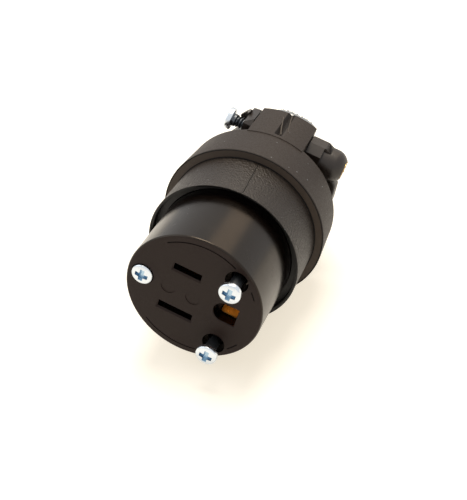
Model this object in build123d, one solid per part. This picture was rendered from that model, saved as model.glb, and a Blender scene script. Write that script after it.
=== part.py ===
from build123d import *
import math
import os

# Three-pole straight blade cord connector, lying on its side as it comes to rest.
# Every piece is drawn on the connector's own axis in millimetres. The face lies in the XY plane and
# looks along +Z, and the cord would leave along -Z. +X points from the blade slots to the ground hole.
# The last section lays the whole connector down on the floor, which is the plane Z = 0.

# Contact pattern of the face
slot_pitch = 12.7
ground_offset = 11.9
slot_line_x = -3.2
slot_throat = 1.75
hot_slot_length = 7.0
neutral_slot_length = 8.8
slot_bevel = 0.4
ground_hole_width = 5.3
ground_round_reach = 3.4
ground_flat_reach = 2.55

# Front body, a hard moulded cup with the face as its floor
face_radius = 17.15
face_edge_round = 0.5
face_thickness = 3.0
nose_length = 24.0
nose_wall = 1.7
line_radius = 15.4
line_arcs = ((63, 129), (-127, -73), (-40, -28), (29, 38))
line_width = 0.3
line_depth = 0.2
ejector_mark_radius = 1.9
ejector_mark_depth = 0.12

# Three long assembly screws that enter through the face
screw_circle = 13.2
screw_spread_angle = 51.4
screw_angles = {"left": 180, "upper": screw_spread_angle, "lower": -screw_spread_angle}
screws_out = {"left": 1.45, "upper": 5.8, "lower": 5.8}
screw_shank = 2.9
screw_hole = 4.2
head_diameter = 5.3
head_side = 1.2
head_crown = 0.5
shank_point = 0.4
recess_span = 3.6
recess_width = 1.2
recess_depth = 1.0
recess_taper = 8
counterbore_diameter = 5.7
counterbore_depth = 2.2
column_radius = 3.4

# Contact block, contacts and terminals inside the front body
block_fit = 0.15
block_plate = 2.2
block_wall = 1.0
strip = 0.6
blade_contact_width = 5.6
blade_contact_gap = 0.55
blade_contact_room = 6.0
ground_contact_width = 4.1
ground_contact_gap = 2.25
ground_contact_room = 9.0
leaf_swell = 0.95
leaf_flare = 1.05
mouth_gap = 1.05
pocket_fit = 0.15
terminal_pad_length = 7.6
terminal_screw_offset = 4.3
terminal_shank = 3.0
terminal_screw_length = 5.0
terminal_head = 5.2
terminal_head_height = 1.6
plate_side = 6.0
plate_thickness = 0.8
plate_corner = 0.75

# Rear body, the wiring chamber behind the contact block
rear_body_radius = 17.0
rear_body_wall = 3.4
rear_wall = 4.6
cord_hole = 13.0
insert_diameter = 5.0
insert_length = 8.0
insert_tip = 0.1
thread_fit = 0.05
insert_fit = 0.02

# Rubber sleeve over both bodies
sleeve_front = 18.5
sleeve_front_radius = 19.66
sleeve_band_radius = 19.45
sleeve_step = 32.93
sleeve_ring_radius = 21.77
sleeve_end = 45.63
sleeve_end_radius = 20.91
sleeve_fit = 0.1
mouth_edge = 0.7
mouth_depth = 2.6
sleeve_bevel = 0.25
lip_thickness = 1.1
lip_bore = 15.7
tongue_width = 15.1
tongue_shift = -1.25
tongue_outer = 21.2
tongue_thickness = 2.8
tongue_end = 58.0
tongue_groove = 2.2
tongue_groove_depth = 0.7
tongue_bevel = 0.4

# Two equal cord clamp halves, drawn together by two screws that enter from opposite sides
clamp_gap = 3.0
clamp_foot_radius = 16.9
clamp_foot = 1.63
clamp_neck_radius = 15.3
tongue_clearance = 1.0
clamp_front = 48.5
clamp_body_end = 58.6
clamp_bevel = 1.0
clamp_collar_radius = 14.2
clamp_end = 66.0
clamp_fit = 0.3
cord_channel = 12.0
cord_grip = 10.2
grip_rib = 1.2
grip_ribs = 3
clamp_screw_cover = 6.9
clamp_screw_place = 54.0
clamp_shank = 3.4
clamp_screw_hole = 4.0
clamp_head = 6.0
clamp_head_side = 1.4
clamp_screw_out = 3.7
clamp_screw_length = 30.0
ear_radius = 4.4
ear_shoulder_drop = 3.7
ear_crest_drop = 1.3
ear_crest_front = 52.0
ear_crest_back = 55.5
boss_ear_width = 4.1
boss_crest_width = 6.1
plain_ear_width = 2.3
plain_ear_reach = 21.1
boss_radius = 4.4
boss_end = 18.0
boss_dome = 3.4
boss_rim = 0.15
guard_reach = 2.8
guard_wall = 0.9
nut_diameter = 4.8
nut_length = 6.0
nut_sink = 0.8

# Sizes that follow from the pieces in front, behind and above
blade_contact_end = nose_length - blade_contact_room
ground_contact_end = nose_length - ground_contact_room
clamp_radius = tongue_outer - tongue_thickness - tongue_clearance
clamp_screw_offset = tongue_outer - clamp_screw_cover
ear_shoulder = tongue_outer - ear_shoulder_drop
ear_height = tongue_outer - ear_crest_drop
rear_body_end = sleeve_end - lip_thickness - clamp_foot - 2 * clamp_fit
screw_length = rear_body_end - counterbore_depth - insert_tip


def rod(radius, near, far):
    """Cylinder on the connector's axis, between two depths behind the face."""
    return Pos(0, 0, -(near + far) / 2) * Cylinder(radius, far - near)


def turned(outline):
    """Body of revolution about the axis from corners given as (radius, depth behind the face)."""
    corners = [(radius, -depth) for radius, depth in outline]
    return revolve(Plane.XZ * make_face(Polyline(*corners, close=True)), Axis.Z)


def bar(x_low, x_high, y_low, y_high, near, far):
    """Block between two depths behind the face."""
    middle = Pos((x_low + x_high) / 2, (y_low + y_high) / 2, -(near + far) / 2)
    return middle * Box(x_high - x_low, y_high - y_low, far - near)


def cross_rod(radius, x_low, x_high, y, depth):
    """Cylinder along X, as the clamp screws run."""
    return Pos((x_low + x_high) / 2, y, -depth) * Rot(0, 90, 0) * Cylinder(radius, x_high - x_low)


def screw_place(name):
    angle = math.radians(screw_angles[name])
    return screw_circle * math.cos(angle), screw_circle * math.sin(angle)


def bevelled_cut(outline, bevel, depth):
    """Hole through the face with a bevelled mouth."""
    throat = extrude(outline, amount=depth, dir=(0, 0, -1))
    wider = offset(outline, amount=bevel, kind=Kind.INTERSECTION)
    mouth = extrude(wider, amount=bevel, dir=(0, 0, -1), taper=45)
    return throat + mouth


def ground_outline():
    """Ground hole: round towards the blade slots and flat on the far side."""
    centre = slot_line_x + ground_offset
    half = ground_hole_width / 2
    round_x = centre - ground_round_reach + half
    flat_x = centre + ground_flat_reach
    straight = Pos((round_x + flat_x) / 2, 0) * Rectangle(flat_x - round_x, 2 * half)
    return Pos(round_x, 0) * Circle(half) + straight


def arc_groove(start, end):
    """Engraved line on the face, along a circle about the axis."""
    ring = rod(line_radius + line_width / 2, 0, line_depth)
    ring -= rod(line_radius - line_width / 2, 0, line_depth)
    reach = 2 * face_radius
    first, last = math.radians(start), math.radians(end)
    middle = (first + last) / 2
    fan = [(0, 0)] + [(reach * math.cos(a), reach * math.sin(a)) for a in (first, middle, last)]
    wedge = extrude(make_face(Polyline(*fan, close=True)), amount=2 * line_depth, both=True)
    return ring & wedge


def front_body():
    body = rod(face_radius, 0, nose_length)
    body = fillet(body.edges().group_by(Axis.Z)[-1], face_edge_round)
    cavity = rod(face_radius - nose_wall, face_thickness, nose_length)
    for name in screw_angles:
        x, y = screw_place(name)
        cavity -= Pos(x, y, 0) * rod(column_radius, face_thickness, nose_length)
    body -= cavity
    for name in screw_angles:
        x, y = screw_place(name)
        body -= Pos(x, y, 0) * rod(screw_hole / 2, 0, nose_length)
        body -= Pos(x, y, 0) * rod(counterbore_diameter / 2, 0, counterbore_depth)
    for side, length in ((1, hot_slot_length), (-1, neutral_slot_length)):
        outline = Pos(slot_line_x, side * slot_pitch / 2) * Rectangle(length, slot_throat)
        body -= bevelled_cut(outline, slot_bevel, face_thickness)
    body -= bevelled_cut(ground_outline(), slot_bevel / 2, face_thickness)
    for start, end in line_arcs:
        body -= arc_groove(start, end)
    for x in (2 * slot_line_x, 0):
        body -= Pos(x, 0, 0) * rod(ejector_mark_radius, 0, ejector_mark_depth)
    return body


def contact_block():
    """Moulded plate with a square tower round each contact, closed in front by the face."""
    leaves = leaf_swell + strip + pocket_fit
    blade = (blade_contact_width / 2 + pocket_fit, blade_contact_gap + leaves)
    ground = (ground_contact_width / 2 + pocket_fit, ground_contact_gap + leaves)
    pockets = [
        (slot_line_x, slot_pitch / 2, blade),
        (slot_line_x, -slot_pitch / 2, blade),
        (slot_line_x + ground_offset, 0, ground),
    ]
    inside = face_radius - nose_wall - block_fit
    block = rod(inside, nose_length - block_plate, nose_length)
    for x, y, (half, deep) in pockets:
        wide, tall = half + block_wall, deep + block_wall
        tower = bar(x - wide, x + wide, y - tall, y + tall, face_thickness, nose_length)
        block += tower & rod(inside, face_thickness, nose_length)
    for name in screw_angles:
        x, y = screw_place(name)
        block -= Pos(x, y, 0) * rod(column_radius + block_fit, face_thickness, nose_length)
    for x, y, (half, deep) in pockets:
        block -= bar(x - half, x + half, y - deep, y + deep, face_thickness, nose_length)
    hole = rod(terminal_shank / 2 + pocket_fit, nose_length - terminal_screw_length, nose_length)
    for x, y in terminal_places().values():
        block -= Pos(x, y, 0) * hole
    return block


def leaf(gap, width, end):
    """One sprung leaf of a contact, drawn at X = 0 on the +Y side of the blade that it grips."""
    start = face_thickness + mouth_gap
    bend = start + (end - start) / 4
    back = gap + leaf_swell
    inner = [(gap + leaf_flare, start), (gap, bend), (back, 2 * bend - start), (back, end)]
    outer = [(y + strip, depth) for y, depth in reversed(inner)]
    corners = [(y, -depth) for y, depth in inner + outer]
    return extrude(Plane.YZ * make_face(Polyline(*corners, close=True)), amount=width / 2, both=True)


def clip(gap, width, end):
    """Two leaves on a common base, open towards the face."""
    one = leaf(gap, width, end)
    reach = gap + leaf_swell + strip
    return one + mirror(one, Plane.XZ) + bar(-width / 2, width / 2, -reach, reach, end, end + strip)


def blade_contact(side):
    """Folded brass contact of one blade slot, with its terminal pad on the back of the block."""
    reach = blade_contact_gap + leaf_swell + strip
    half = blade_contact_width / 2
    inner_y = slot_pitch / 2 - reach
    body = Pos(0, slot_pitch / 2, 0) * clip(blade_contact_gap, blade_contact_width, blade_contact_end)
    body += bar(-half, half, inner_y, inner_y + strip, blade_contact_end, nose_length + strip)
    body += bar(-half, half, inner_y, inner_y + terminal_pad_length, nose_length, nose_length + strip)
    hole = rod(terminal_shank / 2 + thread_fit, nose_length, nose_length + strip)
    body -= Pos(0, inner_y + terminal_screw_offset, 0) * hole
    body = Pos(slot_line_x, 0, 0) * body
    return body if side > 0 else mirror(body, Plane.XZ)


def ground_contact():
    """Copper contact of the ground hole, with its terminal pad turned back towards the axis."""
    reach = ground_contact_gap + leaf_swell + strip
    half = ground_contact_width / 2
    centre = slot_line_x + ground_offset
    body = Pos(centre, 0, 0) * clip(ground_contact_gap, ground_contact_width, ground_contact_end)
    outer_x = centre + half
    body += bar(outer_x - strip, outer_x, -reach, reach, ground_contact_end, nose_length + strip)
    body += bar(outer_x - terminal_pad_length, outer_x, -reach, reach, nose_length, nose_length + strip)
    hole = rod(terminal_shank / 2 + thread_fit, nose_length, nose_length + strip)
    return body - Pos(outer_x - terminal_screw_offset, 0, 0) * hole


def terminal_places():
    inner_y = slot_pitch / 2 - blade_contact_gap - leaf_swell - strip
    blade_y = inner_y + terminal_screw_offset
    ground_x = slot_line_x + ground_offset + ground_contact_width / 2 - terminal_screw_offset
    return {"line": (slot_line_x, blade_y), "neutral": (slot_line_x, -blade_y), "ground": (ground_x, 0)}


def pressure_plate(x, y):
    """Square plate under a terminal screw, which presses the wire on the pad."""
    top = nose_length + strip
    half = plate_side / 2
    plate = bar(-half, half, -half, half, top, top + plate_thickness)
    plate = chamfer(plate.edges().filter_by(Axis.Z), plate_corner)
    return Pos(x, y, 0) * (plate - rod(terminal_shank / 2 + thread_fit, top, top + plate_thickness))


def cross_recess(span, width, depth):
    """Cross of two blades that narrows downwards, and stands up past the crown that it is cut from."""
    mouth = Pos(0, 0, head_crown) * Rectangle(span, width)
    blade = extrude(mouth, amount=depth + head_crown, dir=(0, 0, -1), taper=recess_taper)
    return blade + Rot(0, 0, 90) * blade


def pan_screw(diameter, head, side, crown, length):
    """Screw with a crowned head and a cross recess, pointing down with its seat in the XY plane."""
    radius = head / 2
    sphere = (radius ** 2 + crown ** 2) / (2 * crown)
    middle = math.sqrt(sphere ** 2 - (radius / 2) ** 2) - sphere + side + crown
    edge = Line((radius, 0), (radius, side))
    arch = ThreePointArc((radius, side), (radius / 2, middle), (0, side + crown))
    close = Line((0, side + crown), (0, 0))
    seat = Line((0, 0), (radius, 0))
    body = revolve(Plane.XZ * make_face(edge + arch + close + seat), Axis.Z)
    shank = Pos(0, 0, -length / 2) * Cylinder(diameter / 2, length)
    shank = chamfer(shank.edges().group_by(Axis.Z)[0], shank_point)
    recess = Pos(0, 0, side + crown) * cross_recess(recess_span, recess_width, recess_depth)
    return body + shank - recess


def face_screw(name):
    x, y = screw_place(name)
    screw = pan_screw(screw_shank, head_diameter, head_side, head_crown, screw_length)
    return Pos(x, y, screws_out[name] - counterbore_depth) * screw


def terminal_screw(x, y):
    side = terminal_head_height
    screw = pan_screw(terminal_shank, terminal_head, side, head_crown, terminal_screw_length)
    seat = nose_length + strip + plate_thickness
    return Pos(x, y, -seat) * Rot(180, 0, 0) * screw


def rear_body():
    chamber = rod(rear_body_radius - rear_body_wall, nose_length, rear_body_end - rear_wall)
    for name in screw_angles:
        x, y = screw_place(name)
        chamber -= Pos(x, y, 0) * rod(column_radius, nose_length, rear_body_end - rear_wall)
    body = rod(rear_body_radius, nose_length, rear_body_end) - chamber
    body -= rod(cord_hole / 2, nose_length, rear_body_end)
    for name in screw_angles:
        x, y = screw_place(name)
        body -= Pos(x, y, 0) * rod(screw_hole / 2, nose_length, rear_body_end)
        pocket = rod(insert_diameter / 2 + insert_fit, rear_body_end - insert_length, rear_body_end)
        body -= Pos(x, y, 0) * pocket
    return body


def threaded_insert(name):
    x, y = screw_place(name)
    insert = rod(insert_diameter / 2, rear_body_end - insert_length, rear_body_end)
    insert -= rod(screw_shank / 2 + thread_fit, rear_body_end - insert_length, rear_body_end)
    return Pos(x, y, 0) * insert


def tongue():
    """Rubber tongue that covers the top of the clamp, with a crease along its middle."""
    low = tongue_shift - tongue_width / 2
    high = tongue_shift + tongue_width / 2
    root = sleeve_end - lip_thickness
    shell = rod(tongue_outer, root, tongue_end)
    shell -= rod(tongue_outer - tongue_thickness, root, tongue_end)
    body = shell & bar(low, high, 0, 2 * tongue_outer, root, tongue_end)
    body = chamfer(body.edges().group_by(Axis.Z)[0], tongue_bevel)
    half = tongue_groove / 2
    crease = Polyline(
        (tongue_shift - half, tongue_outer),
        (tongue_shift, tongue_outer - tongue_groove_depth),
        (tongue_shift + half, tongue_outer),
        close=True,
    )
    return body - Pos(0, 0, -tongue_end) * extrude(make_face(crease), amount=tongue_end - sleeve_end)


def rubber_sleeve():
    bore = face_radius + sleeve_fit
    lip = sleeve_end - lip_thickness
    outline = [
        (bore, sleeve_front + mouth_depth),
        (sleeve_front_radius - mouth_edge, sleeve_front + mouth_depth),
        (sleeve_front_radius - mouth_edge, sleeve_front),
        (sleeve_front_radius, sleeve_front),
        (sleeve_band_radius, sleeve_step),
        (sleeve_ring_radius, sleeve_step),
        (sleeve_end_radius, sleeve_end),
        (lip_bore, sleeve_end),
        (lip_bore, lip),
        (bore, lip),
    ]
    body = turned(outline)
    rims = body.edges().filter_by(GeomType.CIRCLE).sort_by(lambda edge: edge.radius)[-2:]
    body = chamfer(rims, sleeve_bevel)
    upper = tongue()
    return body + upper + Rot(0, 0, 180) * upper


def ear(x_low, x_high):
    """Upright lug of a clamp half about the clamp screw, with a sloping front and a flat crest."""
    low = clamp_screw_offset - ear_radius
    front = clamp_screw_place - ear_radius
    back = clamp_screw_place + ear_radius
    side = Polyline(
        (low, -front),
        (ear_shoulder, -front),
        (ear_height, -ear_crest_front),
        (ear_height, -ear_crest_back),
        (ear_shoulder, -back),
        (low, -back),
        close=True,
    )
    web = extrude(Plane.YZ * make_face(side), amount=x_high - x_low)
    return Pos(x_low, 0, 0) * web


def nut_boss(x_start):
    """Boss with a domed end that holds the clamp nut."""
    half = clamp_screw_hole / 2 + boss_rim
    dome_start = boss_end - boss_dome
    outline = Line((boss_radius, x_start), (boss_radius, dome_start))
    outline += EllipticalCenterArc((half, dome_start), boss_radius - half, boss_dome, arc_size=90)
    outline += Line((half, boss_end), (0, boss_end)) + Line((0, boss_end), (0, x_start))
    outline += Line((0, x_start), (boss_radius, x_start))
    solid = revolve(Plane.XZ * make_face(outline), Axis.Z)
    return Pos(0, clamp_screw_offset, -clamp_screw_place) * Rot(0, 90, 0) * solid


def guard(x_start):
    """Half cone behind the head of the clamp screw, which stiffens the plain ear."""
    inner = ear_radius - guard_wall
    low = clamp_screw_offset - ear_radius
    high = clamp_screw_offset + ear_radius
    cup = cross_rod(ear_radius, x_start, x_start + guard_reach, clamp_screw_offset, clamp_screw_place)
    cup -= cross_rod(inner, x_start, x_start + guard_reach, clamp_screw_offset, clamp_screw_place)
    slope = Polyline((x_start, low), (x_start + guard_reach, clamp_screw_offset), (x_start, high), close=True)
    wedge = extrude(make_face(slope), amount=clamp_end, dir=(0, 0, -1))
    return mirror(cup & wedge & bar(0, boss_end, low, high, clamp_screw_place, clamp_end), Plane.XZ)


def clamp_half():
    """Clamp half on the +X side: nut boss above the cord, plain ear for the screw head below it."""
    body = rod(clamp_radius, clamp_front, clamp_body_end)
    body = chamfer(body.edges().group_by(Axis.Z)[0], clamp_bevel)
    collar = rod(clamp_collar_radius, clamp_body_end, clamp_end)
    body += chamfer(collar.edges().group_by(Axis.Z)[0], clamp_bevel)
    body += rod(clamp_foot_radius, rear_body_end + clamp_fit, rear_body_end + clamp_fit + clamp_foot)
    body += rod(clamp_neck_radius, rear_body_end + clamp_fit, clamp_front)
    pitch = (clamp_end - clamp_front) / grip_ribs
    channel = rod(cord_channel / 2, rear_body_end, clamp_end)
    for index in range(grip_ribs):
        middle = clamp_front + (index + 0.5) * pitch
        ring = rod(cord_channel / 2, middle - grip_rib / 2, middle + grip_rib / 2)
        channel -= ring - rod(cord_grip / 2, middle - grip_rib / 2, middle + grip_rib / 2)
    reach = 2 * clamp_radius
    body = (body - channel) & bar(clamp_gap / 2, reach, -reach, reach, 0, clamp_end)
    boss_ear = tongue_width / 2 + tongue_shift + clamp_fit
    plain_ear = tongue_width / 2 - tongue_shift + clamp_fit
    body += ear(boss_ear, boss_ear + boss_ear_width)
    crest_end = boss_ear + boss_crest_width
    body += bar(boss_ear, crest_end, clamp_screw_offset, ear_height, ear_crest_front, ear_crest_back)
    body += nut_boss(boss_ear)
    plain = ear(plain_ear, plain_ear + plain_ear_width) & rod(plain_ear_reach, clamp_front, clamp_end)
    body += mirror(plain, Plane.XZ)
    body += guard(plain_ear + plain_ear_width)
    for side in (1, -1):
        y = side * clamp_screw_offset
        body -= cross_rod(clamp_screw_hole / 2, 0, reach, y, clamp_screw_place)
    nut_start = boss_end - nut_sink - nut_length
    pocket = nut_diameter / 2 + insert_fit
    return body - cross_rod(pocket, nut_start, boss_end, clamp_screw_offset, clamp_screw_place)


def clamp_nut():
    """Round brass nut, pressed into the boss of the clamp half on the +X side."""
    outer = boss_end - nut_sink
    nut = cross_rod(nut_diameter / 2, outer - nut_length, outer, clamp_screw_offset, clamp_screw_place)
    bore = clamp_shank / 2 + thread_fit
    return nut - cross_rod(bore, outer - nut_length, outer, clamp_screw_offset, clamp_screw_place)


def clamp_screw():
    """Screw above the cord, entered from the -X side and backed off from its ear."""
    screw = pan_screw(clamp_shank, clamp_head, clamp_head_side, head_crown, clamp_screw_length)
    return Pos(-clamp_screw_seat(), clamp_screw_offset, -clamp_screw_place) * Rot(0, -90, 0) * screw


def clamp_screw_seat():
    """Distance of the underside of a clamp screw's head from the connector's middle plane."""
    return tongue_width / 2 - tongue_shift + clamp_fit + plain_ear_width + clamp_screw_out


def resting_place(pieces):
    """Lay the connector on its ring and tongue, rolled until the head of the lower clamp screw touches."""
    pitch = math.atan((sleeve_ring_radius - tongue_outer) / (tongue_end - sleeve_step))
    head_x = clamp_screw_seat() + clamp_head_side
    head_y = clamp_screw_offset + clamp_head / 2
    height = sleeve_ring_radius - (clamp_screw_place - sleeve_step) * math.tan(pitch)
    touch = min(1.0, height / math.hypot(head_x, head_y))
    roll = math.atan2(head_x, head_y) - math.acos(touch)
    lie = Rot(90 - math.degrees(pitch), 0, 0) * Rot(0, 0, -math.degrees(roll))
    box = Compound([lie * piece for piece in pieces]).bounding_box()
    middle = box.center()
    return Pos(-middle.X, -middle.Y, -box.min.Z) * lie


parts = {
    "front_body": front_body(),
    "contact_block": contact_block(),
    "line_contact": blade_contact(1),
    "neutral_contact": blade_contact(-1),
    "ground_contact": ground_contact(),
    "rear_body": rear_body(),
    "rubber_sleeve": rubber_sleeve(),
    "clamp_half_right": clamp_half(),
    "clamp_half_left": Rot(0, 0, 180) * clamp_half(),
    "clamp_nut_upper": clamp_nut(),
    "clamp_nut_lower": Rot(0, 0, 180) * clamp_nut(),
    "clamp_screw_upper": clamp_screw(),
    "clamp_screw_lower": Rot(0, 0, 180) * clamp_screw(),
}
for name in screw_angles:
    parts["face_screw_" + name] = face_screw(name)
    parts["threaded_insert_" + name] = threaded_insert(name)
for name, (x, y) in terminal_places().items():
    parts[name + "_pressure_plate"] = pressure_plate(x, y)
    parts[name + "_terminal_screw"] = terminal_screw(x, y)

os.makedirs("parts", exist_ok=True)
place = resting_place(parts.values())
for node, shape in parts.items():
    export_step(place * shape, "parts/" + node + ".step")
print("roll, pitch and place", place)
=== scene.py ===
import math
import random

import bmesh
import bpy
from mathutils import Matrix, Vector, noise


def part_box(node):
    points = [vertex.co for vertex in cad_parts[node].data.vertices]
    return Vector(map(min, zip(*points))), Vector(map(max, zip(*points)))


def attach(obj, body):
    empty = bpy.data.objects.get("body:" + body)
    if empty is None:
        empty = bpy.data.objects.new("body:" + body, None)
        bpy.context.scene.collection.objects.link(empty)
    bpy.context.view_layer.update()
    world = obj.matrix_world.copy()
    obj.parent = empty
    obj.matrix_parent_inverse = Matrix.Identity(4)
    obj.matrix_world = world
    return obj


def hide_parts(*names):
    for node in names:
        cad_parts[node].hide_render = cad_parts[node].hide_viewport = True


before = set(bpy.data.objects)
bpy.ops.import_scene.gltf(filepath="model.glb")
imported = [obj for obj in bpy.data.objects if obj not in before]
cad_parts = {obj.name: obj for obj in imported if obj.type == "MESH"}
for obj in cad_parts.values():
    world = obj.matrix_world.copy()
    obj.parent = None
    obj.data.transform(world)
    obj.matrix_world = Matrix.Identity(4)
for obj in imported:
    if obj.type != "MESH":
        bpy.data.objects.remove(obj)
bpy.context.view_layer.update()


# Camera. It looks down on the face from its upper right, as the photograph does.
MM = 0.001
face_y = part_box("front_body")[0][1]
camera_data = bpy.data.cameras.new("camera")
camera_data.lens = 72
camera_data.sensor_width = 36
camera_data.clip_start = 0.01
camera = bpy.data.objects.new("camera", camera_data)
bpy.context.scene.collection.objects.link(camera)
camera.location = (73.00 * MM, face_y - 164.51 * MM, 169.44 * MM)
camera.rotation_euler = (math.radians(53.53), math.radians(0.33), math.radians(20.61))
bpy.context.scene.camera = camera
bpy.context.scene.view_settings.view_transform = "Standard"


# Studio. A sheet of white card in a white room, with a strong soft lamp above the connector and weak ones
# behind it and at its left. The card is a little brighter to the camera than to the connector, so it is
# white where nothing shades it.
def linear(hex_colour):
    """sRGB hex text to a linear colour with alpha."""
    values = [int(hex_colour[i:i + 2], 16) / 255 for i in (1, 3, 5)]
    return [v / 12.92 if v <= 0.04045 else ((v + 0.055) / 1.055) ** 2.4 for v in values] + [1.0]


def new_material(name, colour, roughness, **sockets):
    """Principled material; returns it with its shader node."""
    material = bpy.data.materials.new(name)
    material.use_nodes = True
    shader = material.node_tree.nodes["Principled BSDF"]
    shader.inputs["Base Color"].default_value = linear(colour)
    shader.inputs["Roughness"].default_value = roughness
    for key, value in sockets.items():
        shader.inputs[key.replace("_", " ")].default_value = value
    return material, shader


def add_node(tree, kind, values=None, links=None, **settings):
    """Adds a node, sets its sockets and properties, and links other nodes' sockets into it."""
    node = tree.nodes.new(kind)
    for key, value in settings.items():
        setattr(node, key, value)
    for key, value in (values or {}).items():
        node.inputs[key].default_value = value
    for key, source in (links or {}).items():
        tree.links.new(source, node.inputs[key])
    return node


def background_rays(tree):
    """Socket that is 1 where the camera sees the surface, straight or through a mirror or glass."""
    ray = add_node(tree, "ShaderNodeLightPath")
    mirrored = add_node(tree, "ShaderNodeMath", operation="MAXIMUM", links={
        0: ray.outputs["Is Glossy Ray"], 1: ray.outputs["Is Transmission Ray"],
    })
    shown = add_node(tree, "ShaderNodeMath", operation="MAXIMUM", links={
        0: ray.outputs["Is Camera Ray"], 1: mirrored.outputs[0],
    })
    return shown.outputs[0]


def add_lamp(name, place, aim, size, power, colour):
    """Round softbox at a place, turned to the point that it is aimed at."""
    data = bpy.data.lights.new(name, "AREA")
    data.shape = "DISK"
    data.size = size
    data.energy = power
    data.color = linear(colour)[:3]
    lamp = bpy.data.objects.new(name, data)
    bpy.context.scene.collection.objects.link(lamp)
    lamp.location = place
    lamp.rotation_euler = (Vector(aim) - Vector(place)).to_track_quat("-Z", "Y").to_euler()


bpy.ops.object.select_all(action="DESELECT")
bpy.ops.mesh.primitive_plane_add(size=3)
floor = bpy.context.object
floor.name = "floor"
# Card: matt, without shine, and it throws a soft warm light back on the connector.
card, card_shader = new_material("matt_white_card", "#f2ede2", 0.9, IOR=1.3)
tree = card.node_tree
shade = add_node(tree, "ShaderNodeBsdfDiffuse", values={"Color": linear("#c8ccd3")})
glow = add_node(tree, "ShaderNodeEmission", values={"Color": linear("#dcd2bf"), "Strength": 1.0})
lift = add_node(tree, "ShaderNodeAddShader", links={0: shade.outputs[0], 1: glow.outputs[0]})
card_mix = add_node(tree, "ShaderNodeMixShader", links={
    0: background_rays(tree), 1: card_shader.outputs[0], 2: lift.outputs[0],
})
tree.links.new(card_mix.outputs[0], tree.nodes["Material Output"].inputs["Surface"])
floor.data.materials.append(card)

# Room: pure white to the eye, and about half as bright as that on the connector.
room = bpy.data.worlds.new("white_room")
room.use_nodes = True
bpy.context.scene.world = room
tree = room.node_tree
white = add_node(tree, "ShaderNodeBackground", values={"Color": (1, 1, 1, 1), "Strength": 1.0})
plain = tree.nodes["Background"]
plain.inputs["Color"].default_value = linear("#fffaf2")
plain.inputs["Strength"].default_value = 0.45
room_mix = add_node(tree, "ShaderNodeMixShader", links={
    0: background_rays(tree), 1: plain.outputs[0], 2: white.outputs[0],
})
tree.links.new(room_mix.outputs[0], tree.nodes["World Output"].inputs["Surface"])
add_lamp("softbox_above", (-0.05, 0.18, 0.75), (0, 0, 0.01), 0.42, 5.5, "#fff1dc")
add_lamp("softbox_behind", (0.20, 0.64, 0.60), (0, 0, 0.01), 0.42, 0.55, "#ffe0b8")
add_lamp("softbox_left", (-0.70, -0.30, 0.60), (0, 0, 0.02), 0.80, 1.5, "#ffffff")


# The connector's own axis. It lies on the ring of its sleeve and a tongue, so it dips a little to the cord
# end, and it has rolled until the head of the lower clamp screw touches the floor. On the axis, x points to
# the ground hole, and z out of the face.
dip = math.radians(1.302)
roll = math.radians(16.59)
axis_height = 22.514 * MM
face_rim = 17.15 * MM
axis_start = Vector((0, face_y + face_rim * math.sin(dip), axis_height))
lay = Matrix.Translation(axis_start) @ Matrix.Rotation(math.pi / 2 - dip, 4, "X")
lay = lay @ Matrix.Rotation(-roll, 4, "Z")
off_axis = lay.inverted()


# Front body. A nylon cup from a mould: its face is spark-eroded, so it is matt and shows a fine grain, and
# its side is polished and mirrors the room in long soft streaks.
def smooth_copy(node, name, slot, *finishes, edge=0.0):
    """Copy of a CAD node with its triangles joined and its edges eased, which stands for the node."""
    joined, flat = 0.001 * MM, math.radians(0.05)
    eased, sharp = math.radians(35), math.radians(30)
    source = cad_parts[node]
    piece = bpy.data.objects.new(name, source.data.copy())
    bpy.context.scene.collection.objects.link(piece)
    mesh = bmesh.new()
    mesh.from_mesh(piece.data)
    bmesh.ops.remove_doubles(mesh, verts=mesh.verts, dist=joined)
    bmesh.ops.dissolve_limit(mesh, angle_limit=flat, verts=mesh.verts, edges=mesh.edges, delimit={"NORMAL"})
    mesh.to_mesh(piece.data)
    mesh.free()
    piece.data.materials.clear()
    for finish in finishes:
        piece.data.materials.append(finish)
    bpy.ops.object.select_all(action="DESELECT")
    piece.select_set(True)
    bpy.context.view_layer.objects.active = piece
    if edge:
        bevel = piece.modifiers.new("eased_edges", "BEVEL")
        bevel.width = edge
        bevel.segments = 3
        bevel.limit_method = "ANGLE"
        bevel.angle_limit = eased
        bevel.use_clamp_overlap = True
        bpy.ops.object.modifier_apply(modifier=bevel.name)
    bpy.ops.object.shade_smooth_by_angle(angle=sharp)
    even = piece.modifiers.new("even_shading", "WEIGHTED_NORMAL")
    even.keep_sharp = True
    even.weight = 100
    bpy.ops.object.modifier_apply(modifier=even.name)
    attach(piece, "root")
    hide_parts(node)
    return piece


def add_grain(material, shader, size, height, roughness):
    """Surface grain as bump, size and height in metres, with a matching spread of roughness."""
    grain_low, grain_high = 0.3, 0.7
    tree = material.node_tree
    place = add_node(tree, "ShaderNodeTexCoord")
    pattern = add_node(
        tree, "ShaderNodeTexNoise",
        values={"Scale": 1 / size, "Detail": 3.0, "Roughness": 0.6},
        links={"Vector": place.outputs["Object"]},
    )
    bump = add_node(
        tree, "ShaderNodeBump",
        values={"Strength": 1.0, "Distance": height}, links={"Height": pattern.outputs["Fac"]},
    )
    tree.links.new(bump.outputs["Normal"], shader.inputs["Normal"])
    spread = add_node(
        tree, "ShaderNodeMapRange",
        values={
            "From Min": grain_low, "From Max": grain_high, "To Min": roughness[0], "To Max": roughness[1],
        },
        links={"Value": pattern.outputs["Fac"]},
    )
    tree.links.new(spread.outputs["Result"], shader.inputs["Roughness"])
    return bump


# Nylon from a polished mould: deep black, with long soft streaks that waver a little.
nylon_side, nylon_side_shader = new_material(
    "moulded_nylon_polished", "#080504", 0.2, IOR=1.42, Specular_Tint=linear("#ffeedd")
)
add_grain(nylon_side, nylon_side_shader, 6.0 * MM, 0.02 * MM, (0.2, 0.28))
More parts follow.
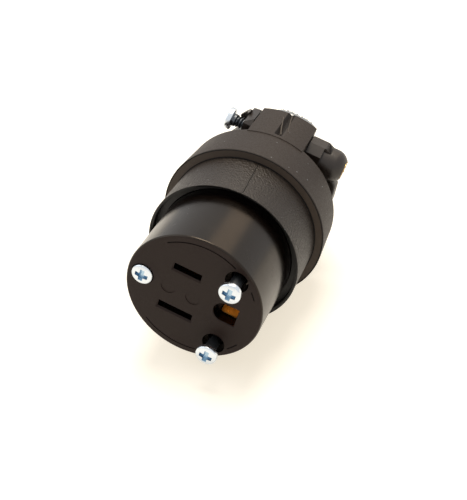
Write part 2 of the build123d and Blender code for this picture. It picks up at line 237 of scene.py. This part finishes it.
# Nylon from a spark-eroded mould: an even dull dark brown. Its grain is drawn at 0.22 mm, about twice as
# coarse as the real one, so that it shows.
nylon_face, nylon_face_shader = new_material("moulded_nylon_spark_eroded", "#190a04", 0.6, IOR=1.33)
add_grain(nylon_face, nylon_face_shader, 0.22 * MM, 0.02 * MM, (0.5, 0.7))
# The floors of the engraved lines, rough from the mould, and painted nearly black as the shade in them.
nylon_line_painted_shade, nylon_line_shade_shader = new_material("moulded_nylon_engraved_painted_shade", "#040202", 0.8, IOR=1.3)
add_grain(nylon_line_painted_shade, nylon_line_shade_shader, 0.22 * MM, 0.02 * MM, (0.7, 0.9))
nose = smooth_copy("front_body", "front_body_shell", "hard_black", nylon_side, nylon_face, nylon_line_painted_shade)
face_finish, line_shade_finish = 1, 2
face_depth, face_bevel, line_top, line_floor = 2.0 * MM, 0.45 * MM, 0.16 * MM, 0.24 * MM
flat_radius, to_front = 16.4 * MM, -0.9
# Faces of the engraved lines get the nearly black finish, painted shade; the flat face gets the matt one.
for polygon in nose.data.polygons:
    spot = off_axis @ polygon.center
    if polygon.normal.y < to_front and -spot.z < face_depth:
        polygon.material_index = line_shade_finish if line_top < -spot.z < line_floor else face_finish
    elif spot.xy.length < flat_radius and -spot.z < face_bevel:
        polygon.material_index = face_finish


# Contact block and rear body. Moulded in the same nylon, and out of sight but for the holes of the face.
for node in ("contact_block", "rear_body"):
    smooth_copy(node, node + "_moulding", "hard_black", nylon_face)


# Contacts, nuts and inserts. Folded brass strip for the two blades, bronze strip for the ground pin, and
# turned brass for the nuts and the threaded inserts.
# Rolled bronze: a warm orange shine, clouded by its rolling marks.
bronze, bronze_shader = new_material("rolled_bronze", "#f2bc6c", 0.32, Metallic=1.0)
add_grain(bronze, bronze_shader, 0.6 * MM, 0.004 * MM, (0.26, 0.4))
# Rolled brass: the same, but yellower and paler.
brass, brass_shader = new_material("rolled_brass", "#d8b26a", 0.3, Metallic=1.0)
add_grain(brass, brass_shader, 0.5 * MM, 0.004 * MM, (0.24, 0.38))
smooth_copy("ground_contact", "ground_contact_strip", "copper", bronze, edge=0.06 * MM)
for node in (
    "line_contact", "neutral_contact", "clamp_nut_upper", "clamp_nut_lower",
    "threaded_insert_left", "threaded_insert_upper", "threaded_insert_lower",
):
    smooth_copy(node, node + "_brass", "brass", brass)


# Terminals. Zinc-plated screws that each press a square plate on a contact, hidden in the wiring chamber.
# Bright zinc plate: nearly white and cool, with slightly clouded reflections.
zinc, zinc_shader = new_material("zinc_plated_steel", "#d4dbe2", 0.22, Metallic=1.0)
add_grain(zinc, zinc_shader, 0.8 * MM, 0.006 * MM, (0.17, 0.3))
for pole in ("line", "neutral", "ground"):
    for part in ("pressure_plate", "terminal_screw"):
        smooth_copy(pole + "_" + part, pole + "_" + part + "_zinc", "zinc_steel", zinc)


# Face screws. Cold-headed steel with a rolled thread and a bright zinc coat, which its blue passivation
# tints where it pools in the cross recess. Two of them are backed out of the face.
def pick(test, kind="FACE"):
    """In edit mode, selects only the faces or edges whose middle passes the test."""
    bpy.ops.mesh.select_mode(type=kind)
    bpy.ops.mesh.select_all(action="DESELECT")
    mesh = bmesh.from_edit_mesh(bpy.context.object.data)
    for part in (mesh.faces if kind == "FACE" else mesh.edges):
        if test(sum((vertex.co for vertex in part.verts), Vector()) / len(part.verts)):
            part.select_set(True)
    bmesh.update_edit_mesh(bpy.context.object.data)


def settle():
    """Applies the active object's place, turn and scale to its mesh."""
    bpy.ops.object.transform_apply(location=True, rotation=True, scale=True)


def cold_headed_screw(shank, length, head, side, plain):
    """Screw that stands head up at the origin, with its seat at Z = 0 and its thread below a plain neck."""
    crown, crown_rings, rim_round = 0.5 * MM, 8, 0.22 * MM
    recess_span, recess_width, recess_depth, recess_taper = 4.2 * MM, 1.45 * MM, 1.1 * MM, 0.6
    tint_reach, tint_depth, tinted = 0.85, 0.05 * MM, 1
    pitch, thread_depth, point = 0.8 * MM, 0.35 * MM, 0.4 * MM
    tiny = 0.01 * MM

    # The head: a round blank, domed in rings, with its rims rounded.
    bpy.ops.object.select_all(action="DESELECT")
    bpy.ops.mesh.primitive_cylinder_add(vertices=64, radius=head / 2, depth=side, location=(0, 0, side / 2))
    blank = bpy.context.object
    settle()
    blank.data.materials.append(zinc)
    blank.data.materials.append(passivation)
    bpy.ops.object.mode_set(mode="EDIT")
    pick(lambda middle: middle.z > side - tiny)
    for ring in range(crown_rings - 1):
        outer, inner = 1 - ring / crown_rings, 1 - (ring + 1) / crown_rings
        bpy.ops.mesh.inset(thickness=head / 2 / crown_rings, depth=crown * (outer ** 2 - inner ** 2))
    rim = 0.49 * head
    pick(lambda middle: middle.xy.length > rim and min(middle.z, abs(middle.z - side)) < tiny, "EDGE")
    bpy.ops.mesh.bevel(offset=rim_round, segments=4, affect="EDGES")
    bpy.ops.object.mode_set(mode="OBJECT")

    # The cross recess: two tapered arms, cut one after the other.
    bottom = side + crown - recess_depth
    for turn in (0, math.pi / 2):
        bpy.ops.object.select_all(action="DESELECT")
        bpy.ops.mesh.primitive_cube_add(size=1, location=(0, 0, side + crown), rotation=(0, 0, turn))
        arm = bpy.context.object
        arm.scale = (recess_span, recess_width, 2 * recess_depth)
        settle()
        bpy.ops.object.mode_set(mode="EDIT")
        pick(lambda middle: middle.z < bottom + tiny)
        bpy.ops.transform.resize(value=(recess_taper, recess_taper, 1), center_override=(0, 0, bottom))
        bpy.ops.object.mode_set(mode="OBJECT")
        cut = blank.modifiers.new("recess", "BOOLEAN")
        cut.operation = "DIFFERENCE"
        cut.solver = "EXACT"
        cut.object = arm
        bpy.ops.object.select_all(action="DESELECT")
        blank.select_set(True)
        bpy.context.view_layer.objects.active = blank
        bpy.ops.object.modifier_apply(modifier=cut.name)
        bpy.data.objects.remove(arm)
    for polygon in blank.data.polygons:
        reach = polygon.center.xy.length / (head / 2)
        dome = side + crown * (1 - reach ** 2)
        if reach < tint_reach and tiny < polygon.center.z < dome - tint_depth:
            polygon.material_index = tinted

    # The shank: a core with a short point, under a neck as wide as the thread; dark steel, painted shade.
    body = length - point
    parts = [blank]
    for radius, depth, taper in ((shank / 2 - thread_depth, body, point), (shank / 2, plain, thread_depth)):
        bpy.ops.object.select_all(action="DESELECT")
        bpy.ops.mesh.primitive_cylinder_add(
            vertices=40, radius=radius, depth=depth, location=(0, 0, -depth / 2)
        )
        rod = bpy.context.object
        settle()
        rod.data.materials.append(thread_steel_painted_shade)
        bpy.ops.object.mode_set(mode="EDIT")
        pick(lambda middle: middle.z < -depth + tiny)
        bpy.ops.mesh.inset(thickness=taper, depth=taper)
        bpy.ops.object.mode_set(mode="OBJECT")
        parts.append(rod)

    # The thread: a triangle wound round the core, closed at both ends, in the same dark steel.
    bpy.ops.object.select_all(action="DESELECT")
    bpy.ops.mesh.primitive_circle_add(vertices=3, fill_type="NOTHING")
    thread = bpy.context.object
    thread.data.materials.append(thread_steel_painted_shade)
    root, flank = shank / 2 - thread_depth - tiny, 0.45 * pitch
    corners = ((shank / 2, 0, -plain), (root, 0, -plain - flank), (root, 0, -plain + flank))
    for vertex, corner in zip(thread.data.vertices, corners):
        vertex.co = corner
    wind = thread.modifiers.new("rolled_thread", "SCREW")
    wind.axis = "Z"
    wind.screw_offset = -pitch
    wind.iterations = int((body - plain) / pitch)
    wind.steps = wind.render_steps = 20
    wind.use_normal_calculate = True
    bpy.ops.object.modifier_apply(modifier=wind.name)
    bpy.ops.object.mode_set(mode="EDIT")
    bpy.ops.mesh.select_all(action="SELECT")
    bpy.ops.mesh.fill_holes(sides=4)
    bpy.ops.mesh.normals_make_consistent(inside=False)
    bpy.ops.object.mode_set(mode="OBJECT")
    for part in parts:
        part.select_set(True)
    bpy.context.view_layer.objects.active = blank
    bpy.ops.object.join()
    bpy.ops.object.shade_smooth_by_angle(angle=math.radians(28))
    return blank


def seat(master, node, place):
    """Copy of a finished screw with its own mesh, laid in its place, which stands for the node."""
    piece = bpy.data.objects.new(node + "_zinc", master.data.copy())
    bpy.context.scene.collection.objects.link(piece)
    piece.data.transform(place)
    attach(piece, "root")
    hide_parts(node)


# Blue passivation: the same bright zinc under a clear pale blue tint.
passivation, passivation_shader = new_material("zinc_blue_passivation", "#a6bfd2", 0.3, Metallic=1.0)
add_grain(passivation, passivation_shader, 0.5 * MM, 0.01 * MM, (0.18, 0.4))
# Rolled thread and shank: zinc painted darker as the shade they lie in, and duller.
thread_steel_painted_shade, thread_shade_shader = new_material("rolled_thread_steel_painted_shade", "#5d6166", 0.35, Metallic=1.0)
add_grain(thread_steel_painted_shade, thread_shade_shader, 0.4 * MM, 0.004 * MM, (0.3, 0.46))
screw_circle, counterbore = 13.2 * MM, 2.2 * MM
pair_angle = math.radians(51.4)
master = cold_headed_screw(2.9 * MM, 40.0 * MM, 5.3 * MM, 1.2 * MM, 9.0 * MM)
for node, angle, out in (
    ("face_screw_left", math.pi, 1.45 * MM),
    ("face_screw_upper", pair_angle, 5.8 * MM),
    ("face_screw_lower", -pair_angle, 5.8 * MM),
):
    spot = (screw_circle * math.cos(angle), screw_circle * math.sin(angle), out - counterbore)
    seat(master, node, lay @ Matrix.Translation(spot))
bpy.data.objects.remove(master)


# Clamp screws. The same kind of screw, shorter and stouter, threaded close to its head. They enter the
# clamp from opposite sides, and the upper one is backed off from its ear.
clamp_seat = 15.1 * MM
clamp_screw_offset = 14.3 * MM
clamp_screw_depth = 54.0 * MM
master = cold_headed_screw(3.4 * MM, 30.0 * MM, 6.0 * MM, 1.4 * MM, 0.8 * MM)
into_clamp = Matrix.Translation((-clamp_seat, clamp_screw_offset, -clamp_screw_depth))
into_clamp = into_clamp @ Matrix.Rotation(-math.pi / 2, 4, "Y")
seat(master, "clamp_screw_upper", lay @ into_clamp)
seat(master, "clamp_screw_lower", lay @ Matrix.Rotation(math.pi, 4, "Z") @ into_clamp)
bpy.data.objects.remove(master)


# Rubber sleeve. One rubber moulding, pebbled on the band in front of its ring, bare and dull behind it, and
# painted black inside its mouth as the shade there. Small light specks are scattered over it.
def add_light_specks(material, shader, colour, speck_colour, spacing):
    """Sparse light specks over the base colour, a fixed spacing apart."""
    speck_edge, speck_heart = 0.075, 0.03
    tree = material.node_tree
    place = add_node(tree, "ShaderNodeTexCoord")
    cells = add_node(
        tree, "ShaderNodeTexVoronoi",
        values={"Scale": 1 / spacing}, links={"Vector": place.outputs["Object"]},
    )
    near = add_node(
        tree, "ShaderNodeMapRange",
        values={"From Min": speck_edge, "From Max": speck_heart, "To Min": 0.0, "To Max": 1.0},
        links={"Value": cells.outputs["Distance"]},
    )
    mix = add_node(
        tree, "ShaderNodeMix", data_type="RGBA",
        values={6: linear(colour), 7: linear(speck_colour)}, links={0: near.outputs["Result"]},
    )
    tree.links.new(mix.outputs[2], shader.inputs["Base Color"])


# Moulded rubber: dull brown-black with a soft broad sheen.
rubber, rubber_shader = new_material("moulded_rubber_dull", "#211812", 0.62, IOR=1.42)
add_grain(rubber, rubber_shader, 0.4 * MM, 0.03 * MM, (0.5, 0.7))
add_light_specks(rubber, rubber_shader, "#211812", "#74787e", 3.1 * MM)
# Pebbled rubber: the same, with pebbles half a millimetre across that break its sheen up into sparkle.
pebble, pebble_shader = new_material("moulded_rubber_pebbled", "#1e1711", 0.5, IOR=1.45)
pebble_bump = add_grain(pebble, pebble_shader, 0.35 * MM, 0.05 * MM, (0.36, 0.6))
tree = pebble.node_tree
place = add_node(tree, "ShaderNodeTexCoord")
pebbles = add_node(
    tree, "ShaderNodeTexVoronoi",
    values={"Scale": 1 / (0.55 * MM)}, links={"Vector": place.outputs["Object"]},
)
raised = add_node(
    tree, "ShaderNodeBump", values={"Strength": 1.0, "Distance": 0.16 * MM}, invert=True,
    links={"Height": pebbles.outputs["Distance"], "Normal": pebble_bump.outputs["Normal"]},
)
tree.links.new(raised.outputs["Normal"], pebble_shader.inputs["Normal"])
add_light_specks(pebble, pebble_shader, "#1e1711", "#868b92", 2.3 * MM)
# The step is a paler brown as painted light, and the crease a darker brown as painted shade.
# The mouth is black as painted shade, with a faint gloss.
step_rubber_painted_light, step_light_shader = new_material("moulded_rubber_step_painted_light", "#473e37", 0.6, IOR=1.42)
add_grain(step_rubber_painted_light, step_light_shader, 0.4 * MM, 0.02 * MM, (0.5, 0.7))
crease_rubber_painted_shade, crease_shade_shader = new_material("moulded_rubber_crease_painted_shade", "#120d0a", 0.7, IOR=1.33)
add_grain(crease_rubber_painted_shade, crease_shade_shader, 0.4 * MM, 0.03 * MM, (0.6, 0.8))
mouth_painted_shade, mouth_shade_shader = new_material("moulded_rubber_mouth_painted_shade", "#060504", 0.4, IOR=1.4)
add_grain(mouth_painted_shade, mouth_shade_shader, 1.5 * MM, 0.02 * MM, (0.34, 0.5))
sleeve = smooth_copy(
    "rubber_sleeve", "rubber_sleeve_moulding", "black_rubber",
    rubber, pebble, mouth_painted_shade, step_rubber_painted_light, crease_rubber_painted_shade, edge=0.15 * MM,
)
band_finish, mouth_shade_finish, step_light_finish, crease_shade_finish = 1, 2, 3, 4
# The lip slopes back a little to its inner edge.
lip_front, lip_skin, lip_slope = 18.6 * MM, 19.2 * MM, 0.5 * MM
for vertex in sleeve.data.vertices:
    spot = off_axis @ vertex.co
    if -spot.z < lip_front and spot.xy.length < lip_skin:
        vertex.co = lay @ (spot - Vector((0, 0, lip_slope)))
band_front, band_back, band_skin = 18.4 * MM, 32.8 * MM, 19.3 * MM
mouth_floor, step_back, tongue_root = 21.2 * MM, 33.0 * MM, 45.7 * MM
crease_x, crease_half, crease_floor, crease_skin = -1.25 * MM, 1.15 * MM, 20.0 * MM, 21.1 * MM
# Mouth and crease faces get finishes painted as shade, and the step's faces one painted as light.
for polygon in sleeve.data.polygons:
    spot = off_axis @ polygon.center
    radius, depth = spot.xy.length, -spot.z
    if band_front < depth < band_back and radius > band_skin:
        polygon.material_index = band_finish
    elif band_front < depth < mouth_floor:
        polygon.material_index = mouth_shade_finish
    elif band_back < depth < step_back:
        polygon.material_index = step_light_finish
    elif (
        depth > tongue_root and abs(spot.x - crease_x) < crease_half
        and crease_floor < spot.y < crease_skin
    ):
        polygon.material_index = crease_shade_finish


# Lines of the sleeve: a fine raised line along the top of the band, where the halves of the mould met, and
# thin raised rings round both edges of the step, all painted black as shade. A pale ring runs round the
# end.
# Flash: painted black as the shade along the raised lines, and dry.
flash_rubber_painted_shade, flash_shade_shader = new_material("moulded_rubber_flash_painted_shade", "#070504", 0.7, IOR=1.3)
add_grain(flash_rubber_painted_shade, flash_shade_shader, 0.3 * MM, 0.02 * MM, (0.6, 0.8))
# Rim: a pale, dull grey-brown ring along the sleeve's end.
end_rubber, end_rubber_shader = new_material("moulded_rubber_rim", "#564e48", 0.6, IOR=1.42)
add_grain(end_rubber, end_rubber_shader, 0.3 * MM, 0.02 * MM, (0.5, 0.75))
# The two step rings are black painted shade; the end ring is pale.
for name, radius, depth, width, finish in (
    ("step_shade_line_inner", 19.54 * MM, 32.82 * MM, 0.3 * MM, flash_rubber_painted_shade),
    ("step_shade_line_outer", 21.56 * MM, 32.9 * MM, 0.26 * MM, flash_rubber_painted_shade),
    ("sleeve_end_line", 20.72 * MM, 45.58 * MM, 0.16 * MM, end_rubber),
):
    bpy.ops.object.select_all(action="DESELECT")
    bpy.ops.mesh.primitive_torus_add(
        major_segments=180, minor_segments=8, major_radius=radius, minor_radius=width / 2
    )
    line = bpy.context.object
    line.name = name
    line.data.transform(lay @ Matrix.Translation((0, 0, -depth)))
    line.data.materials.append(finish)
    bpy.ops.object.shade_smooth()
    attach(line, "root")


def laid_line(name, start, end, width, height, finish):
    """Fine raised line with a narrow top, from one point to another, which wavers a little on its way."""
    narrow_top, cuts = 0.3, 11
    waver, waver_length, waver_seed = 0.35 * MM, 2.2 * MM, 5
    run = end - start
    outward = Vector((start.x, start.y, 0)).normalized()
    across = run.cross(outward).normalized()
    turn = Matrix((across, run.normalized(), across.cross(run).normalized())).transposed().to_4x4()
    bpy.ops.object.select_all(action="DESELECT")
    bpy.ops.mesh.primitive_cube_add(size=1)
    line = bpy.context.object
    line.name = name
    line.scale = (width, run.length, height)
    settle()
    bpy.ops.object.mode_set(mode="EDIT")
    near_top = 0.45 * height
    pick(lambda middle: middle.z > near_top)
    bpy.ops.transform.resize(value=(narrow_top, 1, 1), center_override=(0, 0, 0))
    bpy.ops.mesh.select_all(action="SELECT")
    bpy.ops.mesh.subdivide(number_cuts=cuts)
    bpy.ops.object.mode_set(mode="OBJECT")
    for vertex in line.data.vertices:
        vertex.co.x += waver * noise.noise(Vector((0, vertex.co.y / waver_length, waver_seed)))
    bpy.ops.object.shade_smooth_by_angle(angle=math.radians(30))
    line.data.transform(lay @ Matrix.Translation((start + end) / 2) @ turn)
    line.data.materials.append(finish)
    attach(line, "root")


def on_skin(x, radius, depth):
    """Point above the axis, from a sideways distance, a radius and a depth behind the face, in mm."""
    return Vector((x, math.sqrt(radius ** 2 - x ** 2), -depth)) * MM


# The parting line is painted black as its shade.
laid_line(
    "parting_line", on_skin(-0.34, 19.68, 18.8), on_skin(-1.36, 19.48, 32.8),
    0.28 * MM, 0.16 * MM, flash_rubber_painted_shade,
)


# Crease of the upper tongue. Two fine raised ridges run along the sides of its groove, painted pale as the
# highlights on the groove's edges.
# Ridges: a greyer, paler brown as painted highlight, and dull.
ridge_rubber_painted_highlight, ridge_highlight_shader = new_material("crease_ridge_painted_highlight", "#4d4640", 0.6, IOR=1.42)
add_grain(ridge_rubber_painted_highlight, ridge_highlight_shader, 0.3 * MM, 0.03 * MM, (0.5, 0.75))
laid_line(
    "crease_ridge_left", on_skin(-0.65, 21.1, 46.2), on_skin(-2.7, 21.2, 54.6),
    0.42 * MM, 0.3 * MM, ridge_rubber_painted_highlight,
)
laid_line(
    "crease_ridge_right", on_skin(0.55, 21.15, 48.6), on_skin(-0.9, 21.2, 56.6),
    0.36 * MM, 0.3 * MM, ridge_rubber_painted_highlight,
)


# Torn flash. The rubber was torn from its runner along the rear edge of the upper tongue, and left a ragged
# fringe there, painted pale as the glints of its thin torn edges.
def ragged_strip(name, cuts, lay_point, thickness, finish):
    """Thin strip. lay_point turns the shares along it and up it into each point's place on the axis."""
    bpy.ops.object.select_all(action="DESELECT")
    bpy.ops.mesh.primitive_grid_add(x_subdivisions=cuts, y_subdivisions=2, size=1)
    strip = bpy.context.object
    strip.name = name
    for vertex in strip.data.vertices:
        vertex.co = lay_point(vertex.co.x + 0.5, vertex.co.y + 0.5)
    thicken = strip.modifiers.new("thickness", "SOLIDIFY")
    thicken.thickness = thickness
    bpy.ops.object.modifier_apply(modifier=thicken.name)
    strip.data.transform(lay)
    strip.data.materials.append(finish)
    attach(strip, "root")


tongue_outer, tongue_end = 21.2 * MM, 58.0 * MM


def fringe_point(along, up):
    """The fringe grows from inside the tongue's rear edge, leans outwards and runs out at its ends."""
    left, right, sunk, lean = -5.6 * MM, 6.1 * MM, 0.2 * MM, 0.5
    least, torn, frayed, tears, run_out = 0.25, 0.7, 0.35, 24, 6
    x = left + along * (right - left)
    ragged = least + torn * abs(noise.noise(Vector((along * tears, 0, 2)))) + frayed * random.random()
    height = up * MM * ragged * min(1.0, run_out * along, run_out * (1 - along))
    radius = tongue_outer - sunk + lean * height
    return x, math.sqrt(radius ** 2 - x ** 2), -tongue_end + sunk - height


# Torn rubber: pale grey painted as the glints of the thin fringe, and without any shine of its own.
torn_rubber_painted_glint, torn_rubber_glint_shader = new_material("torn_rubber_painted_glint", "#969ca4", 0.8, IOR=1.42)
add_grain(torn_rubber_painted_glint, torn_rubber_glint_shader, 0.3 * MM, 0.04 * MM, (0.7, 0.9))
random.seed(4)
ragged_strip("tongue_fringe", 110, fringe_point, 0.06 * MM, torn_rubber_painted_glint)


# Cord clamp. Two equal halves of glass-filled nylon, matt from the mould, with eased edges. Each has a
# plain ear at one side, and at the other a boss for the nut, with a domed end and a small gusset.
# Glass-filled nylon: dark brown with a satin bloom, a little uneven where the fibres lie near the skin.
clamp_nylon, clamp_shader = new_material("glass_filled_nylon", "#1e1611", 0.42, IOR=1.5)
add_grain(clamp_nylon, clamp_shader, 0.5 * MM, 0.02 * MM, (0.36, 0.52))
boss_radius, boss_hole = 4.4 * MM, 2.55 * MM
boss_edge, boss_clear = boss_radius + 0.1 * MM, boss_radius + 0.2 * MM
dome_start, dome_length, dome_cut = 13.9 * MM, 4.1 * MM, 0.82
crest_low, crest_squeeze, crest_side = 17.5 * MM, 0.72, 11.2 * MM
gusset_width, gusset_length, gusset_depth = 2.8 * MM, 5.4 * MM, 4.6 * MM
gusset_x, gusset_y, gusset_inner, gusset_top = 16.3 * MM, 6.5 * MM, 14.9 * MM, 9.2 * MM
gusset_taper, gusset_round, into_boss = 0.8, 0.4 * MM, (-1.2 * MM, 1.7 * MM, 0)
for node, turn in (("clamp_half_right", 0), ("clamp_half_left", math.pi)):
    half = smooth_copy(node, node + "_moulding", "clamp_black", clamp_nylon, edge=0.25 * MM)
    own = lay @ Matrix.Rotation(turn, 4, "Z")
    off_own = own.inverted()
    for vertex in half.data.vertices:
        spot = off_own @ vertex.co
        from_screw = Vector((spot.y - clamp_screw_offset, spot.z + clamp_screw_depth))
        if spot.x > dome_start and from_screw.length < boss_edge:
            along = dome_cut * (spot.x - dome_start) / dome_length
            spot.x = dome_start + dome_length * along
            if from_screw.length > boss_hole:
                reach = boss_radius * math.sqrt(1 - along ** 2) / from_screw.length
                spot.y = clamp_screw_offset + from_screw.x * reach
                spot.z = -clamp_screw_depth + from_screw.y * reach
        elif spot.x > 0 and spot.y > crest_low and from_screw.length > boss_clear:
            spot.y = crest_low + (spot.y - crest_low) * crest_squeeze
            spot.x = min(spot.x, crest_side)
        vertex.co = own @ spot
    bpy.ops.object.select_all(action="DESELECT")
    bpy.ops.mesh.primitive_cube_add(size=1, location=(gusset_x, gusset_y, -clamp_screw_depth))
    gusset = bpy.context.object
    gusset.name = node + "_gusset"
    gusset.scale = (gusset_width, gusset_length, gusset_depth)
    settle()
    bpy.ops.object.mode_set(mode="EDIT")
    pick(lambda middle: middle.y > gusset_y + 0.4 * gusset_length)
    bpy.ops.transform.resize(
        value=(gusset_taper, 1, gusset_taper),
        center_override=(gusset_inner, gusset_top, -clamp_screw_depth),
    )
    bpy.ops.mesh.extrude_region_move(TRANSFORM_OT_translate={"value": into_boss})
    bpy.ops.mesh.select_all(action="SELECT")
    bpy.ops.mesh.bevel(offset=gusset_round, segments=3, affect="EDGES")
    bpy.ops.object.mode_set(mode="OBJECT")
    bpy.ops.object.shade_smooth_by_angle(angle=math.radians(30))
    gusset.data.transform(own)
    gusset.data.materials.append(clamp_nylon)
    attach(gusset, "root")


# Nut burr. The brass nut was pressed into the boss from outside, and turned up a thin bright burr there.
def burr_point(along, up):
    """The burr leans outwards round the nut. It is about 0.3 mm high in places, and nearly flat between."""
    radius, start, lean = 2.5 * MM, 17.25 * MM, 0.3
    least, highest, crests = 0.02, 0.5, 3
    turn = 2 * math.pi * along
    around = Vector((math.cos(turn), math.sin(turn), 0))
    height = up * MM * max(least, highest * noise.noise(crests * around) - least)
    radius += lean * height
    return start + height, clamp_screw_offset + radius * around.x, -clamp_screw_depth + radius * around.y


ragged_strip("nut_burr", 90, burr_point, 0.05 * MM, brass)
